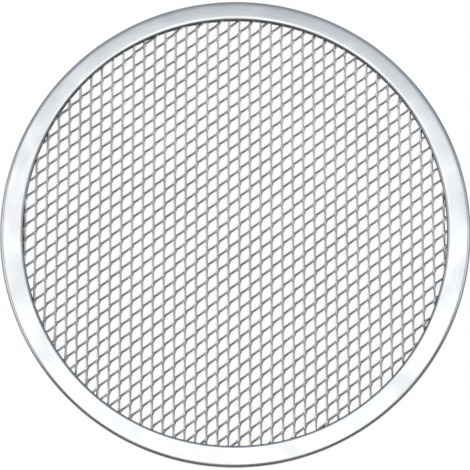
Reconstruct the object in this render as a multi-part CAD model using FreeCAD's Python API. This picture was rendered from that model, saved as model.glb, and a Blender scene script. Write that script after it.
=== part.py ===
import FreeCAD, Part
import math
import os

from FreeCAD import Vector

os.makedirs("parts", exist_ok=True)

# A pizza screen: a round pan of expanded aluminium sheet, with a rim of folded sheet.
# Everything is in millimetres with +Z up. The origin is the centre of the pan, on the
# surface that it stands on.

# Rim: one ring of sheet, folded over the edge of the mesh and pressed onto it.
outer_diameter = 254.0
flange_width = 11.1
rim_sheet = 0.8
nose_turn = 90.0
lip_slope_width = 1.1

# Mesh: one sheet, slit and stretched into diamonds. Its strands lean, those of one direction
# lie above those of the other, and they stay joined in one piece where they meet.
long_pitch = 14.2
short_pitch = 6.55
long_pitch_heading = 65.3
first_bond_x = 2.9
first_bond_y = 2.0
strand_height = 0.8
strand_width = 0.8
strand_lean = 0.35

# How far the strands reach under the flanges, past the lip.
mesh_grip = 0.5

# Sizes that follow from the ones above.
mesh_thickness = 2 * strand_height
rim_height = mesh_thickness + 2 * rim_sheet
outer_radius = outer_diameter / 2
lip_radius = outer_radius - flange_width
mesh_radius = lip_radius + mesh_grip
diamond_angle = math.atan2(short_pitch, long_pitch)
strand_spacing = math.hypot(long_pitch, short_pitch) / 2 * math.sin(2 * diamond_angle)


def rim():
    """The folded ring: a round nose with a crease on each side of it, two flat flanges, and
    a lip on each flange that slopes down to the mesh."""
    half_turn = math.radians(nose_turn) / 2
    nose_radius = rim_height / 2 / math.sin(half_turn)
    crease_radius = outer_radius - nose_radius * (1 - math.cos(half_turn))
    slope_radius = lip_radius + lip_slope_width
    fold_radius = outer_radius - rim_sheet
    roof_height = rim_height - rim_sheet

    def at(radius, height):
        return Vector(radius, 0, height)

    nose = Part.Arc(
        at(crease_radius, rim_height),
        at(outer_radius, rim_height / 2),
        at(crease_radius, 0),
    )
    flanges = Part.makePolygon([
        at(crease_radius, 0),
        at(slope_radius, 0),
        at(lip_radius, rim_sheet),
        at(fold_radius, rim_sheet),
        at(fold_radius, roof_height),
        at(lip_radius, roof_height),
        at(slope_radius, rim_height),
        at(crease_radius, rim_height),
    ])
    section = Part.Face(Part.Wire([nose.toShape().toNurbs().Edges[0]] + flanges.Edges))
    return section.revolve(Vector(0, 0, 0), Vector(0, 0, 1), 360)


def strand(heading, offset, low, high):
    """One straight strand across the round of the mesh, between two heights. Its foot lies
    to one side of its top, as the stretching of the sheet turns it."""
    along = Vector(math.cos(heading), math.sin(heading), 0)
    across = Vector(-math.sin(heading), math.cos(heading), 0)
    half_length = math.sqrt(mesh_radius ** 2 - offset ** 2)
    start = across * offset - along * half_length

    def at(side, height):
        return start + across * side + Vector(0, 0, height)

    left = (strand_width + strand_lean) / 2
    right = left - strand_width
    section = Part.Face(Part.makePolygon([
        at(-left, low),
        at(-right, low),
        at(left, high),
        at(right, high),
        at(-left, low),
    ]))
    return section.extrude(along * (2 * half_length))


def strand_layer(heading, low):
    """All strands of one direction: one through the first bond and the rest beside it."""
    first = first_bond_y * math.cos(heading) - first_bond_x * math.sin(heading)
    reach = mesh_radius - strand_width - strand_lean
    lowest = math.ceil((-reach - first) / strand_spacing)
    highest = math.floor((reach - first) / strand_spacing)
    return [
        strand(heading, first + count * strand_spacing, low, low + strand_height)
        for count in range(lowest, highest + 1)
    ]


def mesh():
    """The expanded sheet as one solid, with every diamond between its strands open."""
    heading = math.radians(long_pitch_heading)
    upper = strand_layer(heading - diamond_angle, rim_sheet + strand_height)
    lower = strand_layer(heading + diamond_angle, rim_sheet)
    return upper[0].multiFuse(upper[1:] + lower).Solids[0]


for node, shape in (("rim", rim()), ("mesh", mesh())):
    shape.exportStep("parts/" + node + ".step")
    print(node, "volume", round(shape.Volume), "valid", shape.isValid(), "faces", len(shape.Faces))
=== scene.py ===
# %% [markdown]
# # A mesh pizza pan, dressed around its solid model
# This is a flat round pan for baking pizza: a disc of expanded aluminium sheet, whose edge is
# held in a folded ring of plain sheet. The solid model gives the sizes and places. Here both
# pieces are made again in mesh code, fine enough to carry the small shapes that catch the
# light, and then they get their finish, a floor, soft light and a camera.

# %% Load the solid model
import math
from types import SimpleNamespace

import bmesh
import bpy
import numpy as np
from mathutils import Matrix, Vector


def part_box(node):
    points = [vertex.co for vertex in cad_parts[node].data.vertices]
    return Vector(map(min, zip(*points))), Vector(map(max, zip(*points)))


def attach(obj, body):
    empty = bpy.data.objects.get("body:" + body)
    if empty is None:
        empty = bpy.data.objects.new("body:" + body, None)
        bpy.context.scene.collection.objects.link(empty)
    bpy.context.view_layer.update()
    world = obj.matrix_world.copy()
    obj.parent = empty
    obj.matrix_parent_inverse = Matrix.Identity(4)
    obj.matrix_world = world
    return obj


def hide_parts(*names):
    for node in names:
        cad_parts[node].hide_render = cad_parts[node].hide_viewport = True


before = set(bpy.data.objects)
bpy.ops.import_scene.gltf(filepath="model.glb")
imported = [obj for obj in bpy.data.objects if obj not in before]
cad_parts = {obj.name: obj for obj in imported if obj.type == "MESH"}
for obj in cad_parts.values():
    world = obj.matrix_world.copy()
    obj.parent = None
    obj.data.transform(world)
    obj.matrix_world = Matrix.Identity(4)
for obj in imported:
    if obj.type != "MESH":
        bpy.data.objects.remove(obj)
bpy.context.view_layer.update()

# %% [markdown]
# ## Sizes
# Blender works in metres, but a sheet-metal worker thinks in millimetres, so every size below
# is in millimetres and is turned into metres only where Blender takes it over. What the solid
# model already knows is read from it: the outer radius, the height, and the thickness of the
# sheet under the mesh. Only what can't be read from its boxes is written here as a number.

# %% Read the sizes of the two pieces
MM = 0.001
FLANGE_WIDTH = 11.1

rim_low, rim_high = (np.array(corner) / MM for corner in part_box("rim"))
mesh_low, mesh_high = (np.array(corner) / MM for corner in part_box("mesh"))

outer_radius = rim_high[0]
rim_height = rim_high[2]
middle_height = rim_height / 2
sheet = mesh_low[2] - rim_low[2]
lip_radius = outer_radius - FLANGE_WIDTH
print("rim", round(2 * outer_radius, 1), "mm across and", round(rim_height, 2), "mm high")
print("its sheet is", round(sheet, 2), "mm thick")

# %% [markdown]
# ## Camera
# The pan lies flat and the camera looks down on it from nearly overhead, leaning a little
# towards the viewer, so that the far side of the ring is slightly narrower than the near side.
# Near straight down, an aim that keeps Z up would spin the picture. The camera's own axes are
# therefore built by hand: its right-hand axis is at right angles to the world's Y and to the
# line of sight, which keeps Y upright in the picture.

# %% Place the camera
CAMERA_DISTANCE = 769.0
CAMERA_LEAN = 8.37
CAMERA_TURN = 8.16
CAMERA_AIM = (0.24, -3.08, 1.7)
CAMERA_LENS = 109.2
NEAR_CLIP = 10.0


def aim_camera():
    """A camera that leans from straight down and is turned a little way round the pan."""
    lean, turn = math.radians(CAMERA_LEAN), math.radians(CAMERA_TURN)
    back = Vector((math.sin(lean) * math.sin(turn), -math.sin(lean) * math.cos(turn), math.cos(lean)))
    right = Vector((0, 1, 0)).cross(back).normalized()
    upward = back.cross(right)
    axes = Matrix((right, upward, back)).transposed().to_4x4()
    axes.translation = (Vector(CAMERA_AIM) + CAMERA_DISTANCE * back) * MM
    camera = bpy.data.objects.new("camera", bpy.data.cameras.new("camera"))
    camera.data.lens = CAMERA_LENS
    camera.data.clip_start = NEAR_CLIP * MM
    camera.matrix_world = axes
    bpy.context.collection.objects.link(camera)
    bpy.context.scene.camera = camera
    return camera


camera = aim_camera()
print("camera at", [round(place, 3) for place in camera.matrix_world.translation], "m")

# %% [markdown]
# ## A helper that turns points and faces into a piece
# Both pieces are one mesh each, made from a list of points and a list of faces. Points that lie
# in the same place are merged, so that the piece is one closed skin with no doubled edges. The
# helper counts the edges that don't have a face on each side, and a sound skin has none.

# %% Make a piece from points and faces
MERGE_DISTANCE = 1e-4


def make_piece(name, node, points, faces, finishes=None):
    """A mesh from points in millimetres, merged where they meet, that stands for a node."""
    data = bpy.data.meshes.new(name)
    data.from_pydata((points * MM).tolist(), [], faces)
    if finishes is not None:
        data.polygons.foreach_set("material_index", finishes)
    skin = bmesh.new()
    skin.from_mesh(data)
    bmesh.ops.remove_doubles(skin, verts=skin.verts, dist=MERGE_DISTANCE * MM)
    loose = [point for point in skin.verts if not point.link_faces]
    bmesh.ops.delete(skin, geom=loose, context="VERTS")
    open_edges = sum(len(edge.link_faces) != 2 for edge in skin.edges)
    skin.to_mesh(data)
    skin.free()
    piece = bpy.data.objects.new(name, data)
    bpy.context.collection.objects.link(piece)
    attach(piece, "root")
    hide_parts(node)
    triangles = sum(len(face.vertices) - 2 for face in data.polygons)
    print(name, "has", triangles, "triangles and", open_edges, "edges without two faces")
    return piece


# %% [markdown]
# ## Small unevenness
# No sheet is perfect. Slow waves, each a sum of sines with seeded phases, later shift the
# strands by a few hundredths of a millimetre, change their tilt by a degree or two, and press
# shallow dents into the rim. The same seed gives the same pan on every run.

# %% Slow waves
WAVE_SEED = 7

random = np.random.default_rng(WAVE_SEED)


def waves(count, longest, shortest):
    """Seeded sine waves, one column each: heading, length and phase."""
    headings = random.uniform(0, 2 * math.pi, count)
    lengths = np.geomspace(longest, shortest, count)
    phases = random.uniform(0, 2 * math.pi, count)
    return np.stack([headings, lengths, phases])


def read_waves(table, x, y):
    """The sum of the waves at some places, mostly between -1 and 1."""
    total = 0
    for heading, length, phase in table.T:
        travel = x * math.cos(heading) + y * math.sin(heading)
        total = total + np.sin(travel * 2 * math.pi / length + phase)
    return total / math.sqrt(table.shape[1])


print("the waves are drawn from seed", WAVE_SEED)

# %% [markdown]
# ## The rim
# The real rim is a strip of sheet, bent into a ring, folded over the edge of the mesh and
# pressed flat on it. Its section is a narrow U that lies on its side. It could be a bent strip
# with a solidify modifier, but a drawn section gives each small shape its true place, so the
# section is drawn as a closed line at every step of a turn about the pan's axis.
#
# Three small shapes matter most to the eye. The nose of the fold is rounded, the flanges are
# very slightly crowned between it and the lip, and the lip itself slopes down to the mesh, ever
# steeper: its first part mirrors the light overhead, and its last part the dark room.
#
# The strip was bent and pressed by simple tools, so its lip isn't a true circle. It lies a little
# further in at the left and the right. All of it sits a little towards the far side, where its
# slope is also wider.

# %% The section of the rim
LIP_INSET = 1.45
LIP_OFFSET = 0.28
SLOPE_WIDTH = 1.75
SLOPE_CHANGE = 0.6
LIP_GAP = 0.04
CROWN = 0.02
NOSE_REACH = 2.1
NOSE_STEPS = 16
LIP_STEPS = 10
FLANGE_STEPS = 8
INNER_SETBACK = 0.15


def half_ellipse(centre, reach, half_height, steps):
    """Points (radius, height) round a nose, from its top to its foot."""
    turns = np.linspace(0, math.pi, steps + 1)
    return np.stack([centre + reach * np.sin(turns), middle_height + half_height * np.cos(turns)], axis=-1)


def lip_at(angle):
    """The radius of the lip at an angle round the pan, and the width of its slope."""
    inset = LIP_INSET * math.cos(angle) ** 4 - LIP_OFFSET * math.sin(angle)
    return lip_radius - inset, SLOPE_WIDTH + SLOPE_CHANGE * math.sin(angle)


def upper_flange(lip, slope_width):
    """Points (radius, height) from the lip to where the nose starts, along the top."""
    edge_height = rim_height - CROWN
    climb = np.arange(LIP_STEPS + 1) / LIP_STEPS
    slope_radius = lip + climb * slope_width
    slope_height = edge_height - (sheet - LIP_GAP) * (1 - climb) ** 2
    share = np.arange(1, FLANGE_STEPS + 1) / FLANGE_STEPS
    flat_start, flat_end = lip + slope_width, outer_radius - NOSE_REACH
    flat_radius = flat_start + share * (flat_end - flat_start)
    flat_height = edge_height + CROWN * (1 - (2 * share - 1) ** 2)
    return np.stack([np.append(slope_radius, flat_radius), np.append(slope_height, flat_height)], axis=-1)


def rim_section(angle):
    """The closed outline of the folded sheet at an angle, as (radius, height) points."""
    lip, slope_width = lip_at(angle)
    top = upper_flange(lip, slope_width)
    nose_start, nose_top = top[-1]
    nose = half_ellipse(nose_start, NOSE_REACH, nose_top - middle_height, NOSE_STEPS)
    bottom = top[::-1] * (1, -1) + (0, rim_height)
    roof = rim_height - sheet
    fold = half_ellipse(nose_start, NOSE_REACH - sheet, roof - middle_height, NOSE_STEPS)
    inner_lip = lip + INNER_SETBACK
    return np.concatenate([top, nose[1:-1], bottom, [(inner_lip, sheet)], fold[::-1], [(inner_lip, roof)]])


print("the rim's section has", len(rim_section(0)), "points")

# %% [markdown]
# The ring is made as on a lathe. The section is drawn at equal steps round the pan, and each is
# joined to the next. A screw modifier would turn one section all the way round, and then the lip
# couldn't change with the angle. The press that closed the fold also left shallow dents, which
# draw both flanges a few hundredths of a millimetre towards the mesh.

# %% Turn the section into the ring
RIM_STEPS = 480
DENT_DEPTH = 0.03

dent_waves = waves(8, 60, 14)


def turned(section_at, steps):
    """Points and faces of a section turned about Z, drawn anew at every step."""
    angles = np.arange(steps) / steps * 2 * math.pi
    radii, heights = np.moveaxis(np.array([section_at(angle) for angle in angles]), -1, 0)
    x, y = radii * np.cos(angles)[:, None], radii * np.sin(angles)[:, None]
    points = np.stack([x, y, heights], axis=-1)
    count = points.shape[1]
    faces = []
    for turn in range(steps):
        here, there = turn * count, (turn + 1) % steps * count
        for place in range(count):
            after = (place + 1) % count
            faces.append((here + place, there + place, there + after, here + after))
    return points.reshape(-1, 3), faces


def pressed(points):
    """The ring's points, with shallow dents that draw both flanges in towards the mesh."""
    x, y, z = points.T
    dents = DENT_DEPTH * np.clip(read_waves(dent_waves, x, y), 0, 1)
    return np.stack([x, y, z - dents * (z - middle_height) / middle_height], axis=-1)


ring_points, ring_faces = turned(rim_section, RIM_STEPS)
rim = make_piece("folded_rim", "rim", pressed(ring_points), ring_faces)
rim.data.shade_smooth()

# %% [markdown]
# ## The mesh
# Expanded sheet is made by a press that cuts short slits and pulls the sheet down at each one.
# Nothing is woven and nothing is lost: a row of metal between two lines of slits becomes a
# zigzag strand, joined to the row above and the row below in turn at short bonds. The pull
# turns every strand, so the bonds and strands lean, and the cut edges of the sheet face one way.
#
# A repeated tile with an array modifier would be quicker, but its seams and its perfect rows
# would show. Here each row is a strand with a rectangular section, carried along its zigzag.

# %% Sizes of the mesh
LONG_PITCH = 13.865
SHORT_PITCH = 6.385
LONG_PITCH_HEADING = 65.26
FIRST_BOND = (2.49, 1.73)
STRAND_WIDTH = 0.9
STRAND_THICKNESS = 1.2
EDGE_ROUNDING = 0.06
BOND_LENGTH = 1.0
SHOULDER_LENGTH = 1.6
BEND_LENGTH = 0.35
BEND_ENTRY = 0.25
BOND_TILT = 46.0
BOND_BEND = 14.0
STRAND_TILT = 50.0
MESH_REACH = 119.0

ROW_SPACING = SHORT_PITCH / 2
HALF_PERIOD = LONG_PITCH / 2
HEADING = math.radians(LONG_PITCH_HEADING)
print("openings of", round(LONG_PITCH, 2), "by", round(SHORT_PITCH, 2), "mm from bond to bond")


def to_world(along, across):
    """From along the rows and across them to X and Y."""
    x = FIRST_BOND[0] + along * math.cos(HEADING) - across * math.sin(HEADING)
    y = FIRST_BOND[1] + along * math.sin(HEADING) + across * math.cos(HEADING)
    return x, y


# %% [markdown]
# ### Stations
# A row is described by stations along it. The press pushes the metal down beside one end of each
# slit, so the two ends of a strand aren't alike. On its plus side a row runs on straight past
# the bond, like a shoulder, and then crosses over. On its minus side it turns back at once.
# Each bond has two stations where both rows share their points, and each bend has two more.

# %% The stations of one row
def half_period(side):
    """Stations from a bond on this side to the next: place, share of the crossing done, joined."""
    half_bond = BOND_LENGTH / 2
    joined = half_bond - BEND_LENGTH
    start = half_bond + (SHOULDER_LENGTH if side > 0 else 0)
    bend = BEND_LENGTH / (HALF_PERIOD - half_bond - start)
    stations = [(-joined, 0, True), (joined, 0, True)]
    if side > 0:
        stations.append(((joined + start) / 2, 0, False))
    stations += [
        (start, bend * BEND_ENTRY, False),
        (start + BEND_LENGTH, bend, False),
        (HALF_PERIOD - half_bond - BEND_LENGTH, 1 - bend, False),
        (HALF_PERIOD - half_bond, 1 - bend * BEND_ENTRY, False),
    ]
    return stations


def row_stations(number):
    """Arrays for one row: place along it, share of the way to each side (from -1 to 1), the
    side it is joined on or 0, and the place and side of the bond that it comes from."""
    first = 0 if number % 2 == 0 else HALF_PERIOD
    periods = int(MESH_REACH / LONG_PITCH) + 2
    rows = []
    for count in range(-2 * periods, 2 * periods):
        bond, side = first + count * HALF_PERIOD, 1 if count % 2 == 0 else -1
        for place, crossed, joined in half_period(side):
            rows.append((bond + place, side * (1 - 2 * crossed), side if joined else 0, bond, side))
    along, share, joined, bond, side = np.array(rows).T
    return SimpleNamespace(along=along, share=share, joined=joined, bond=bond, side=side)


print("each period of a row has", len(half_period(1) + half_period(-1)), "stations")

# %% [markdown]
# ### Tilt
# The tilt of a strand is set at the bonds, where both rows must agree on it, and is mixed in
# between. Under the rim the sheet is pinched flatter, because the folded ring was pressed on
# it, and this starts a little inside the lip.

# %% Tilt and unevenness of the strands
TILT_CHANGE = 2.0
SHIFT = 0.06
LIFT = 0.05
PINCH_WIDTH = 1.7
PINCH_TILT = 30.0
PINCH_THICKNESS = 0.95

tilt_waves = waves(6, 150, 15)
shift_waves_x = waves(5, 120, 20)
shift_waves_y = waves(5, 120, 20)
lift_waves = waves(5, 170, 40)


def pinched(x, y):
    """0 in the open mesh, rising to 1 at the lip of the rim."""
    return np.clip((np.hypot(x, y) - lip_radius + PINCH_WIDTH) / PINCH_WIDTH, 0, 1)


def bond_tilt(along, across):
    """The tilt of a bond, in degrees."""
    return BOND_TILT + TILT_CHANGE * read_waves(tilt_waves, *to_world(along, across))


def strand_tilt(row, base):
    """At each station of a row, in radians: the tilt that two joined rows have in common, and
    how far the row itself is bent from it."""
    tilt_before = bond_tilt(row.bond, base + row.side * ROW_SPACING / 2)
    tilt_after = bond_tilt(row.bond + HALF_PERIOD, base - row.side * ROW_SPACING / 2)
    crossed = (1 - row.share * row.side) / 2
    tilt = tilt_before * (1 - crossed) + tilt_after * crossed
    tilt = tilt + (STRAND_TILT - BOND_TILT) * (1 - abs(row.share))
    pinch = pinched(*to_world(row.along, base + row.share * ROW_SPACING / 2))
    return np.radians(tilt + (PINCH_TILT - tilt) * pinch), np.radians(BOND_BEND * row.share * (1 - pinch))


def unevenly_placed(points):
    """Points in place over the floor, moved by the slow waves."""
    x, y = to_world(points[..., 0], points[..., 1])
    lift = LIFT * read_waves(lift_waves, x, y) * (1 - pinched(x, y))
    shift_x, shift_y = SHIFT * read_waves(shift_waves_x, x, y), SHIFT * read_waves(shift_waves_y, x, y)
    return np.stack([x + shift_x, y + shift_y, middle_height + points[..., 2] + lift], axis=-1)


print("bonds lean", BOND_TILT, "degrees in the open mesh and", PINCH_TILT, "under the rim")

# %% [markdown]
# ### Sections of a strand
# Round each station stands a ring of eight points: a rectangle with its corners taken off, as
# the shear leaves them. On the side of a bond there is no corner and no wall. Both rows have
# the same points there, so when points are merged, all rows become one skin.

# %% Rings of points along a row
def strand_corners(row, base):
    """Eight corners of the section at each station: (across the strand, through the sheet)."""
    pinch = pinched(*to_world(row.along, base + row.share * ROW_SPACING / 2))
    thickness = STRAND_THICKNESS + (PINCH_THICKNESS - STRAND_THICKNESS) * pinch
    width, depth = STRAND_WIDTH / 2, thickness / 2
    plus = np.where(row.joined == 1, 0, EDGE_ROUNDING)
    minus = np.where(row.joined == -1, 0, EDGE_ROUNDING)
    full = np.ones_like(plus)
    across = [width - plus, width * full, width * full, width - plus]
    across += [minus - width, -width * full, -width * full, minus - width]
    through = [depth, depth - plus, plus - depth, -depth]
    through += [-depth, minus - depth, depth - minus, depth]
    return np.stack(across, axis=-1)[..., None], np.stack(through, axis=-1)[..., None]


def row_rings(row, base):
    """The rings of one row, as an array of stations, corners and coordinates."""
    common_tilt, bend = strand_tilt(row, base)
    tilt = common_tilt + bend
    across = base + row.share * (ROW_SPACING - STRAND_WIDTH * np.cos(tilt)) / 2
    height = row.share * STRAND_WIDTH / 2 * np.sin(tilt)
    way_along = np.gradient(row.along)
    way_across = np.where(row.joined == 0, np.gradient(across), 0)
    length = np.hypot(way_along, way_across)
    way_along, way_across = way_along / length, way_across / length
    wide = np.stack([-way_across * np.cos(tilt), way_along * np.cos(tilt), -np.sin(tilt)], axis=-1)
    deep = np.stack([-way_across * np.sin(tilt), way_along * np.sin(tilt), np.cos(tilt)], axis=-1)
    mitre = np.stack([0 * tilt, np.sin(common_tilt), np.cos(common_tilt)], axis=-1) / np.cos(bend)[:, None]
    centre = np.stack([row.along, across, height], axis=-1)
    corner_across, corner_through = strand_corners(row, base)
    shared = (row.joined[:, None] * np.sign(corner_across[..., 0]) > 0)[..., None]
    deep_at_corner = np.where(shared, mitre[:, None], deep[:, None])
    return centre[:, None] + corner_across * wide[:, None] + corner_through * deep_at_corner


print("a strand is", STRAND_WIDTH, "mm wide and", STRAND_THICKNESS, "mm thick")

# %% [markdown]
# ### All rows together
# The round was cut out of a larger sheet. So each row runs until it meets the round edge, under
# the rim, and its end is closed with a cut face. The broad faces of a strand keep the finish of
# the sheet, and the walls between them get the finish of a cut.

# %% Build all rows as one skin
CORNERS = 8
WALLS_ON_SIDE = {1: (0, 1, 2), -1: (4, 5, 6), 0: ()}
CUT_WALLS = (1, 5)
SHEET_FACE, CUT_FACE = 0, 1


def row_faces(row, alive, first):
    """Faces between the rings of one row, each with the finish that it gets."""
    faces = []
    for place in np.nonzero(alive)[0]:
        near, far = first + place * CORNERS, first + (place + 1) * CORNERS
        open_side = row.joined[place] if row.joined[place] == row.joined[place + 1] else 0
        for wall in range(CORNERS):
            if wall not in WALLS_ON_SIDE[open_side]:
                after = (wall + 1) % CORNERS
                finish = CUT_FACE if wall in CUT_WALLS else SHEET_FACE
                faces.append(((near + wall, near + after, far + after, far + wall), finish))
        if not alive[place - 1]:
            faces.append((tuple(near + corner for corner in reversed(range(CORNERS))), CUT_FACE))
        if not alive[place + 1]:
            faces.append((tuple(far + corner for corner in range(CORNERS)), CUT_FACE))
    return faces


def trimmed(row, base):
    """Which lengths of a row, from one station to the next, lie inside the cut round edge. Where
    a bond falls outside it, the lengths that would run up to that bond are cut off too."""
    path_x, path_y = to_world(row.along, base + row.share * ROW_SPACING / 2)
    between = np.hypot((path_x[:-1] + path_x[1:]) / 2, (path_y[:-1] + path_y[1:]) / 2)
    alive = between < MESH_REACH
    lost_bonds = (row.joined[:-1] * row.joined[1:] > 0) & ~alive
    return alive & ~np.roll(lost_bonds, 1) & ~np.roll(lost_bonds, -1)


def expanded_sheet():
    """Points, faces and finishes of the whole round of mesh."""
    reach = int(MESH_REACH / ROW_SPACING) + 2
    points, faces = [], []
    for number in range(-reach, reach + 1):
        row, base = row_stations(number), (number - 0.5) * ROW_SPACING
        faces += row_faces(row, trimmed(row, base), len(points) * len(row.along) * CORNERS)
        points.append(unevenly_placed(row_rings(row, base)).reshape(-1, 3))
    corners, finishes = zip(*faces)
    return np.concatenate(points), corners, finishes


mesh = make_piece("expanded_mesh", "mesh", *expanded_sheet())

# %% [markdown]
# ## Building materials from nodes
# Short helpers keep the node trees readable. One places a node and sets or links its inputs.
# Another starts a node group, a box with named inputs and outputs that more than one material
# can use with its own values. The rest are the small sums that every tree needs. A mix node
# keeps sockets for every kind of value, so its colour sockets are picked by their numbers.

# %% Helpers for nodes
MIX_FIRST, MIX_SECOND, MIX_RESULT = 6, 7, 2


def place_node(tree, kind, inputs=None, **settings):
    """A node with its settings, whose inputs get a value or a link from another node's output."""
    node = tree.nodes.new(kind)
    for name, value in settings.items():
        setattr(node, name, value)
    for name, value in (inputs or {}).items():
        if isinstance(value, bpy.types.NodeSocket):
            tree.links.new(value, node.inputs[name])
        else:
            node.inputs[name].default_value = value
    return node


def start_group(name, inputs, outputs):
    """A node group, with the sockets of its start and its end by name."""
    group = bpy.data.node_groups.new(name, "ShaderNodeTree")
    for label, kind, value in inputs:
        socket = group.interface.new_socket(label, in_out="INPUT", socket_type="NodeSocket" + kind)
        socket.default_value = value
    for label in outputs:
        group.interface.new_socket(label, in_out="OUTPUT", socket_type="NodeSocketFloat")
    return group, group.nodes.new("NodeGroupInput").outputs, group.nodes.new("NodeGroupOutput").inputs


def math_node(tree, operation, first, second=0.0):
    """The result of one sum on two numbers."""
    return place_node(tree, "ShaderNodeMath", {0: first, 1: second}, operation=operation).outputs[0]


def vector_node(tree, operation, first, second=(0, 0, 0), result="Vector"):
    """The result of one sum on two vectors."""
    inputs = {0: first, 1: second}
    return place_node(tree, "ShaderNodeVectorMath", inputs, operation=operation).outputs[result]


def ranged(tree, value, low, high, to_low=0.0, to_high=1.0, smooth=False):
    """A value taken from one range to another, and held at its ends."""
    inputs = {"Value": value, "From Min": low, "From Max": high, "To Min": to_low, "To Max": to_high}
    kind = "SMOOTHSTEP" if smooth else "LINEAR"
    return place_node(tree, "ShaderNodeMapRange", inputs, interpolation_type=kind).outputs["Result"]


def mixed_colour(tree, share, first, second):
    """The mix of two colours, each a value or a link."""
    inputs = {"Factor": share, MIX_FIRST: first, MIX_SECOND: second}
    return place_node(tree, "ShaderNodeMix", inputs, data_type="RGBA").outputs[MIX_RESULT]


def noise(tree, place, scale=1.0, detail=2.0):
    """A cloudy value round 0.5 that changes over the given place."""
    inputs = {"Vector": place, "Scale": scale, "Detail": detail}
    return place_node(tree, "ShaderNodeTexNoise", inputs).outputs["Fac"]


print("a mix node takes its colours at sockets", MIX_FIRST, "and", MIX_SECOND)

# %% [markdown]
# ## Grain
# Both pieces start as rolled aluminium sheet. The rolls draw long faint lines along the sheet,
# and the shear that cuts the strands draws short ones across their cut faces. It is one effect
# at several sizes, so it is a node group: noise on a place that has been divided by the width
# of a line one way and by its length the other ways. An anisotropic shader would blur the
# reflections along the grain too, but it hides the single lines that show the metal was rolled.

# %% The grain as a node group
FINE_LINES = 6.0
FINE_DETAIL = 3.0
STREAK_RANGE = (0.3, 0.7)


def grain_group():
    """Streaks, a broad value from 0 to 1, and the height of the fine lines between them."""
    inputs = [
        ("Place", "Vector", (0, 0, 0)),
        ("Streak Width", "Float", 1.0),
        ("Streak Length", "Float", 10.0),
    ]
    group, given, result = start_group("drawn_grain", inputs, ["Streaks", "Height"])
    width, length = given["Streak Width"], given["Streak Length"]
    size = place_node(group, "ShaderNodeCombineXYZ", {"X": width, "Y": length, "Z": length}).outputs[0]
    place = vector_node(group, "DIVIDE", given["Place"], size)
    streaks = ranged(group, noise(group, place), *STREAK_RANGE)
    fine = noise(group, place, FINE_LINES, FINE_DETAIL)
    height = math_node(group, "ADD", math_node(group, "MULTIPLY", fine, 1 / FINE_LINES), streaks)
    group.links.new(streaks, result["Streaks"])
    group.links.new(height, result["Height"])
    return group


drawn_grain = grain_group()
print("drawn_grain has sockets", [socket.name for socket in drawn_grain.interface.items_tree])

# %% [markdown]
# ## Handling marks
# Bare aluminium never stays bright all over. Hands and racks leave it dull in soft patches, and
# here and there a corner of another pan leaves a thin scratch. The patches are plain noise. The
# scratches are the borders between long cells, kept only where a second noise is high, so that
# each is a short broken line and no two meet in a net.

# %% The marks as a node group
PATCH_DETAIL = 4.0
PATCH_RANGE = (0.35, 0.65)
SCRATCH_STRETCH = (1.0, 0.22, 1.0)
SCRATCH_TURN = 35.0
BREAK_SCALE = 0.3
BREAK_RANGE = (0.55, 0.62)


def marks_group():
    """Dulling, from 0 to 1 in soft patches, and scratches, 1 on thin broken lines."""
    inputs = [
        ("Place", "Vector", (0, 0, 0)),
        ("Patch Size", "Float", 20.0),
        ("Scratch Spacing", "Float", 12.0),
        ("Scratch Width", "Float", 0.1),
    ]
    group, given, result = start_group("handling_marks", inputs, ["Dulling", "Scratches"])
    patch = given["Patch Size"]
    size = place_node(group, "ShaderNodeCombineXYZ", {"X": patch, "Y": patch, "Z": patch}).outputs[0]
    clouds = noise(group, vector_node(group, "DIVIDE", given["Place"], size), detail=PATCH_DETAIL)
    turn = {"Vector": given["Place"], "Angle": math.radians(SCRATCH_TURN)}
    turned_place = place_node(group, "ShaderNodeVectorRotate", turn, rotation_type="Z_AXIS").outputs[0]
    stretched = vector_node(group, "MULTIPLY", turned_place, SCRATCH_STRETCH)
    scale = math_node(group, "DIVIDE", 1.0, given["Scratch Spacing"])
    cells = {"Vector": stretched, "Scale": scale}
    border = place_node(group, "ShaderNodeTexVoronoi", cells, feature="DISTANCE_TO_EDGE").outputs["Distance"]
    distance = math_node(group, "MULTIPLY", border, given["Scratch Spacing"])
    line = ranged(group, math_node(group, "DIVIDE", distance, given["Scratch Width"]), 1.0, 0.0)
    kept = ranged(group, noise(group, stretched, BREAK_SCALE), *BREAK_RANGE)
    group.links.new(ranged(group, clouds, *PATCH_RANGE), result["Dulling"])
    group.links.new(math_node(group, "MULTIPLY", line, kept), result["Scratches"])
    return group


handling_marks = marks_group()
print("handling_marks has sockets", [socket.name for socket in handling_marks.interface.items_tree])

# %% [markdown]
# ## A bare metal to start from
# Every metal here is a Principled shader with Metallic at 1, set on the shader itself because
# it is the same all over. What changes over the surface comes in from the groups. The place is
# read in millimetres, so the groups' sizes are true sizes on the pan.

# %% Start a metal
METALLIC = 1.0


def start_metal(name):
    """A material of bare metal: itself, its node tree and the inputs of its shader."""
    material = bpy.data.materials.new(name)
    material.use_nodes = True
    shader = material.node_tree.nodes["Principled BSDF"].inputs
    shader["Metallic"].default_value = METALLIC
    return material, material.node_tree, shader


def place_in_mm(tree):
    """Where a point of the surface is, in millimetres."""
    here = tree.nodes.new("ShaderNodeTexCoord").outputs["Object"]
    return vector_node(tree, "DIVIDE", here, (MM, MM, MM))


def place_group(tree, group, **values):
    """A placed group's outputs. Its inputs are given by name, with _ for a space."""
    inputs = {name.replace("_", " "): value for name, value in values.items()}
    return place_node(tree, "ShaderNodeGroup", inputs, node_tree=group).outputs


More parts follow.
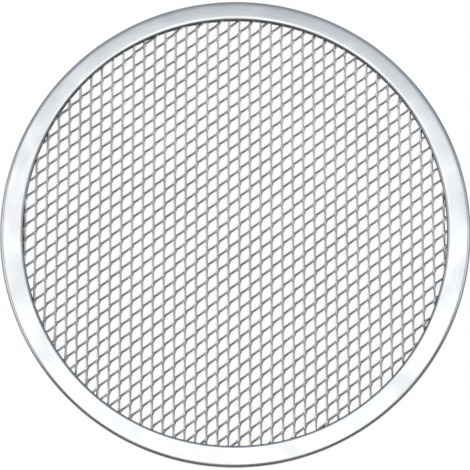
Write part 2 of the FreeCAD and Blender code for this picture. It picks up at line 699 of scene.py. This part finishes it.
def finish_metal(tree, shader, colour, roughness, height, depth):
    """Links what changes over the surface to the shader, with a bump of some depth in mm."""
    bump = {"Height": height, "Distance": depth * MM}
    tree.links.new(place_node(tree, "ShaderNodeBump", bump).outputs["Normal"], shader["Normal"])
    tree.links.new(colour, shader["Base Color"])
    tree.links.new(roughness, shader["Roughness"])


print("every metal has Metallic at", METALLIC)

# %% [markdown]
# ## The finish of the rim
# The rim was a straight strip before it was bent, with the lines of the rolls along it. They
# now run round the ring. So the grain gets a place made for a ring: how far across the strip,
# and the direction from the middle of the pan on two axes, which has no seam where an angle
# would have one. Wherever the sheet falls away from its flat, its colour is painted dark: a
# painted shade in the corner between the lip and the mesh, and a painted dark reflection round
# the nose of the fold.

# %% Finish the rim
RIM_BRIGHT = (0.92, 0.93, 0.945, 1)
RIM_BLUE = (0.85, 0.88, 0.905, 1)
# Painted shade: the dark colour of the lip's corner, and the painted dark reflection round the nose.
RIM_PAINTED_SHADE = (0.3, 0.3, 0.31, 1)
RIM_SMOOTH, RIM_DULL = 0.17, 0.3
PAINTED_SHADE_DROP = (0.12, 0.5)
PAINTED_SHADE_ROUGHNESS = 0.1
RIM_GRAIN_DEPTH = 0.004


def place_on_ring(tree, place):
    """Across the strip of the ring and the place round it on two axes, then the plain height."""
    parts = place_node(tree, "ShaderNodeSeparateXYZ", {0: place}).outputs
    flat = place_node(tree, "ShaderNodeCombineXYZ", {"X": parts["X"], "Y": parts["Y"]}).outputs[0]
    radius = vector_node(tree, "LENGTH", flat, result="Value")
    heading = vector_node(tree, "MULTIPLY", vector_node(tree, "NORMALIZE", flat), (outer_radius,) * 3)
    round_parts = place_node(tree, "ShaderNodeSeparateXYZ", {0: heading}).outputs
    across = math_node(tree, "ADD", radius, parts["Z"])
    on_ring = {"X": across, "Y": round_parts["X"], "Z": round_parts["Y"]}
    return place_node(tree, "ShaderNodeCombineXYZ", on_ring).outputs[0], parts["Z"]


def rolled_sheet():
    """The rim's metal."""
    material, tree, shader = start_metal("rolled_sheet")
    place = place_in_mm(tree)
    on_ring, height = place_on_ring(tree, place)
    grain = place_group(tree, drawn_grain, Place=on_ring, Streak_Width=1.4, Streak_Length=16.0)
    marks = place_group(tree, handling_marks, Place=place, Patch_Size=24.0, Scratch_Spacing=15.0)
    off_middle = math_node(tree, "ABSOLUTE", math_node(tree, "SUBTRACT", height, float(middle_height)))
    drop = math_node(tree, "SUBTRACT", float(middle_height), off_middle)
    # Painted shade and painted dark reflection, wherever the sheet falls away from its flat: at the lip and
    # round the nose.
    painted_shade = ranged(tree, drop, *PAINTED_SHADE_DROP, smooth=True)
    colour = mixed_colour(tree, grain["Streaks"], RIM_BRIGHT, RIM_BLUE)
    colour = mixed_colour(tree, painted_shade, colour, RIM_PAINTED_SHADE)
    dull = math_node(tree, "MAXIMUM", marks["Dulling"], marks["Scratches"])
    roughness = ranged(tree, dull, 0.0, 1.0, RIM_SMOOTH, RIM_DULL)
    roughness = math_node(tree, "ADD", roughness, math_node(tree, "MULTIPLY", painted_shade, PAINTED_SHADE_ROUGHNESS))
    finish_metal(tree, shader, colour, roughness, grain["Height"], RIM_GRAIN_DEPTH)
    return material


rim.data.materials.append(rolled_sheet())
print("the rim wears", rim.data.materials[0].name)

# %% [markdown]
# ## The finish of the mesh
# The strands show two kinds of surface. Their broad faces are the old faces of the sheet, with
# the lines of the rolls across the rows. Their cut faces were torn through by the shear: they
# are greyer, and their lines run through the thickness. Both get the groups again, with other
# places and sizes, and the mesh wears each finish on its own faces.

# %% Finish the mesh
SHEET_BRIGHT = (0.93, 0.93, 0.925, 1)
SHEET_DULL = (0.8, 0.8, 0.795, 1)
CUT_BRIGHT = (0.8, 0.8, 0.795, 1)
CUT_DULL = (0.6, 0.6, 0.595, 1)
SHEET_ROUGHNESS = (0.22, 0.36)
CUT_ROUGHNESS = (0.24, 0.4)
MESH_GRAIN_DEPTH = 0.003
CUT_GRAIN_DEPTH = 0.012


def place_along_rows(tree, place):
    """The place turned so that X runs along the rows of the mesh."""
    turn = {"Vector": place, "Angle": -HEADING}
    return place_node(tree, "ShaderNodeVectorRotate", turn, rotation_type="Z_AXIS").outputs[0]


def strand_metal(name, bright, dull, smoothest, dullest, depth, **grain_sizes):
    """One of the mesh's two metals."""
    material, tree, shader = start_metal(name)
    place = place_in_mm(tree)
    grain = place_group(tree, drawn_grain, Place=place_along_rows(tree, place), **grain_sizes)
    marks = place_group(tree, handling_marks, Place=place, Patch_Size=34.0, Scratch_Spacing=6.0)
    greyed = math_node(tree, "MULTIPLY", math_node(tree, "ADD", grain["Streaks"], marks["Dulling"]), 0.5)
    colour = mixed_colour(tree, greyed, bright, dull)
    roughness = ranged(tree, greyed, 0.0, 1.0, smoothest, dullest)
    finish_metal(tree, shader, colour, roughness, grain["Height"], depth)
    return material


expanded_finish = strand_metal(
    "expanded_sheet", SHEET_BRIGHT, SHEET_DULL, *SHEET_ROUGHNESS, MESH_GRAIN_DEPTH,
    Streak_Width=0.4, Streak_Length=5.0,
)
sheared_finish = strand_metal(
    "sheared_edge", CUT_BRIGHT, CUT_DULL, *CUT_ROUGHNESS, CUT_GRAIN_DEPTH,
    Streak_Width=0.22, Streak_Length=1.6,
)
mesh.data.materials.append(expanded_finish)
mesh.data.materials.append(sheared_finish)
print("the mesh wears", [material.name for material in mesh.data.materials])

# %% [markdown]
# ## The floor
# The pan lies on a plain white surface. It is lit as any matt surface is, so it takes the pan's
# soft shadow, but most of its white is its own glow, which only the camera and reflections see.
# A glow of strength 1 is white in the picture. The metal mirrors less than a third of it, as it
# would over a floor that lies in the pan's own shade.

# %% Make the floor
FLOOR_HALF = 3000.0
GLOW_FOR_CAMERA = 0.92
GLOW_FOR_MIRRORS = 0.3
FLOOR_PAINT = 0.9


def white_floor():
    """The floor's material: matt paint mixed with a glow for camera and mirror rays."""
    material = bpy.data.materials.new("white_floor")
    material.use_nodes = True
    tree = material.node_tree
    tree.nodes.clear()
    ray = tree.nodes.new("ShaderNodeLightPath").outputs
    mirrored = math_node(tree, "MAXIMUM", ray["Is Glossy Ray"], ray["Is Transmission Ray"])
    in_mirror = math_node(tree, "MULTIPLY", mirrored, GLOW_FOR_MIRRORS)
    in_view = math_node(tree, "MULTIPLY", ray["Is Camera Ray"], GLOW_FOR_CAMERA)
    share = math_node(tree, "MAXIMUM", in_mirror, in_view)
    paint = place_node(tree, "ShaderNodeBsdfDiffuse", {"Color": (FLOOR_PAINT, FLOOR_PAINT, FLOOR_PAINT, 1)})
    glow = place_node(tree, "ShaderNodeEmission", {"Strength": 1.0})
    mixed = place_node(tree, "ShaderNodeMixShader", {0: share, 1: paint.outputs[0], 2: glow.outputs[0]})
    place_node(tree, "ShaderNodeOutputMaterial", {"Surface": mixed.outputs[0]})
    return material


def make_floor():
    """A square of floor under the pan."""
    data = bpy.data.meshes.new("floor")
    reach = FLOOR_HALF * MM
    corners = [(x * reach, y * reach, 0) for x, y in ((-1, -1), (1, -1), (1, 1), (-1, 1))]
    data.from_pydata(corners, [], [(0, 1, 2, 3)])
    data.materials.append(white_floor())
    floor = bpy.data.objects.new("floor", data)
    bpy.context.collection.objects.link(floor)
    return floor


floor = make_floor()
print("the floor is", 2 * FLOOR_HALF * MM, "m square")

# %% [markdown]
# ## The light
# Bare metal shows what stands around it, so the studio is what gives this pan its look. It has
# a large soft panel overhead and a lower one on each side, and between them it is grey, darker
# in front of the pan than behind it. The panels are soft four-sided patches in the world's
# colour, placed by direction. They are what the metal mirrors. The one overhead is slanted, so
# the far side of the rim is darker to the right than to the left.
#
# A lamp with a very wide disc adds the even light that matt surfaces need to show their colour
# about as it is written. Mirrors don't see it.
#
# A panel's centre, half size and soft edge are slopes: how far a direction turns aside for each
# step towards the panel. Its slant moves its second place by that share of the first.

# %% Make the studio
PANEL_LEVEL = (0.95, 0.96, 0.98, 1)
OVERHEAD = {
    "axes": "ZXY", "sign": 1, "centre": (-0.02, -0.036), "half": (0.36, 0.305),
    "slant": 0.14, "edge": 0.1, "level": (1.2, 1.2, 1.19, 1),
}
LEFT_PANEL = {
    "axes": "XYZ", "sign": -1, "centre": (0.0, 0.6), "half": (0.42, 0.8),
    "slant": 0.0, "edge": 0.2, "level": PANEL_LEVEL,
}
RIGHT_PANEL = {
    "axes": "XYZ", "sign": 1, "centre": (0.06, 0.75), "half": (0.26, 0.65),
    "slant": 0.0, "edge": 0.16, "level": PANEL_LEVEL,
}
FRONT_LEVEL = (0.19, 0.19, 0.19, 1)
BACK_LEVEL = (0.32, 0.36, 0.4, 1)
FRONT_TO_BACK = (-0.3, 0.3)
HORIZON_FADE = (0.0, 0.1)
FILL_STRENGTH = 1.9
FILL_WIDTH = 75


def add_panel(tree, parts, colour, axes, sign, centre, half, slant, edge, level):
    """Lays one soft panel over the colour of the studio, and gives the new colour."""
    facing = math_node(tree, "MULTIPLY", parts[axes[0]], sign)
    mask = ranged(tree, facing, *HORIZON_FADE)
    first, second = (math_node(tree, "DIVIDE", parts[axis], facing) for axis in axes[1:])
    second = math_node(tree, "ADD", second, math_node(tree, "MULTIPLY", first, slant))
    for place, middle, reach in zip((first, second), centre, half):
        off = math_node(tree, "ABSOLUTE", math_node(tree, "SUBTRACT", place, middle))
        inside = ranged(tree, off, reach + edge / 2, reach - edge / 2, smooth=True)
        mask = math_node(tree, "MULTIPLY", mask, inside)
    return mixed_colour(tree, mask, colour, level)


def make_studio():
    """The world's colour by direction."""
    world = bpy.data.worlds.new("studio")
    world.use_nodes = True
    bpy.context.scene.world = world
    tree = world.node_tree
    direction = tree.nodes.new("ShaderNodeTexCoord").outputs["Generated"]
    parts = place_node(tree, "ShaderNodeSeparateXYZ", {0: direction}).outputs
    behind = ranged(tree, parts["Y"], *FRONT_TO_BACK)
    colour = mixed_colour(tree, behind, FRONT_LEVEL, BACK_LEVEL)
    for panel in (LEFT_PANEL, RIGHT_PANEL, OVERHEAD):
        colour = add_panel(tree, parts, colour, **panel)
    tree.links.new(colour, tree.nodes["Background"].inputs["Color"])
    return world


def make_fill():
    """The wide lamp that lights matt surfaces from above."""
    lamp = bpy.data.lights.new("fill", "SUN")
    lamp.energy = FILL_STRENGTH
    lamp.angle = math.radians(FILL_WIDTH)
    fill = bpy.data.objects.new("fill", lamp)
    fill.visible_glossy = False
    bpy.context.collection.objects.link(fill)
    return fill


studio = make_studio()
fill = make_fill()
print("lit by", studio.name, "and", fill.name)
bpy.context.scene.view_settings.view_transform = "Standard"
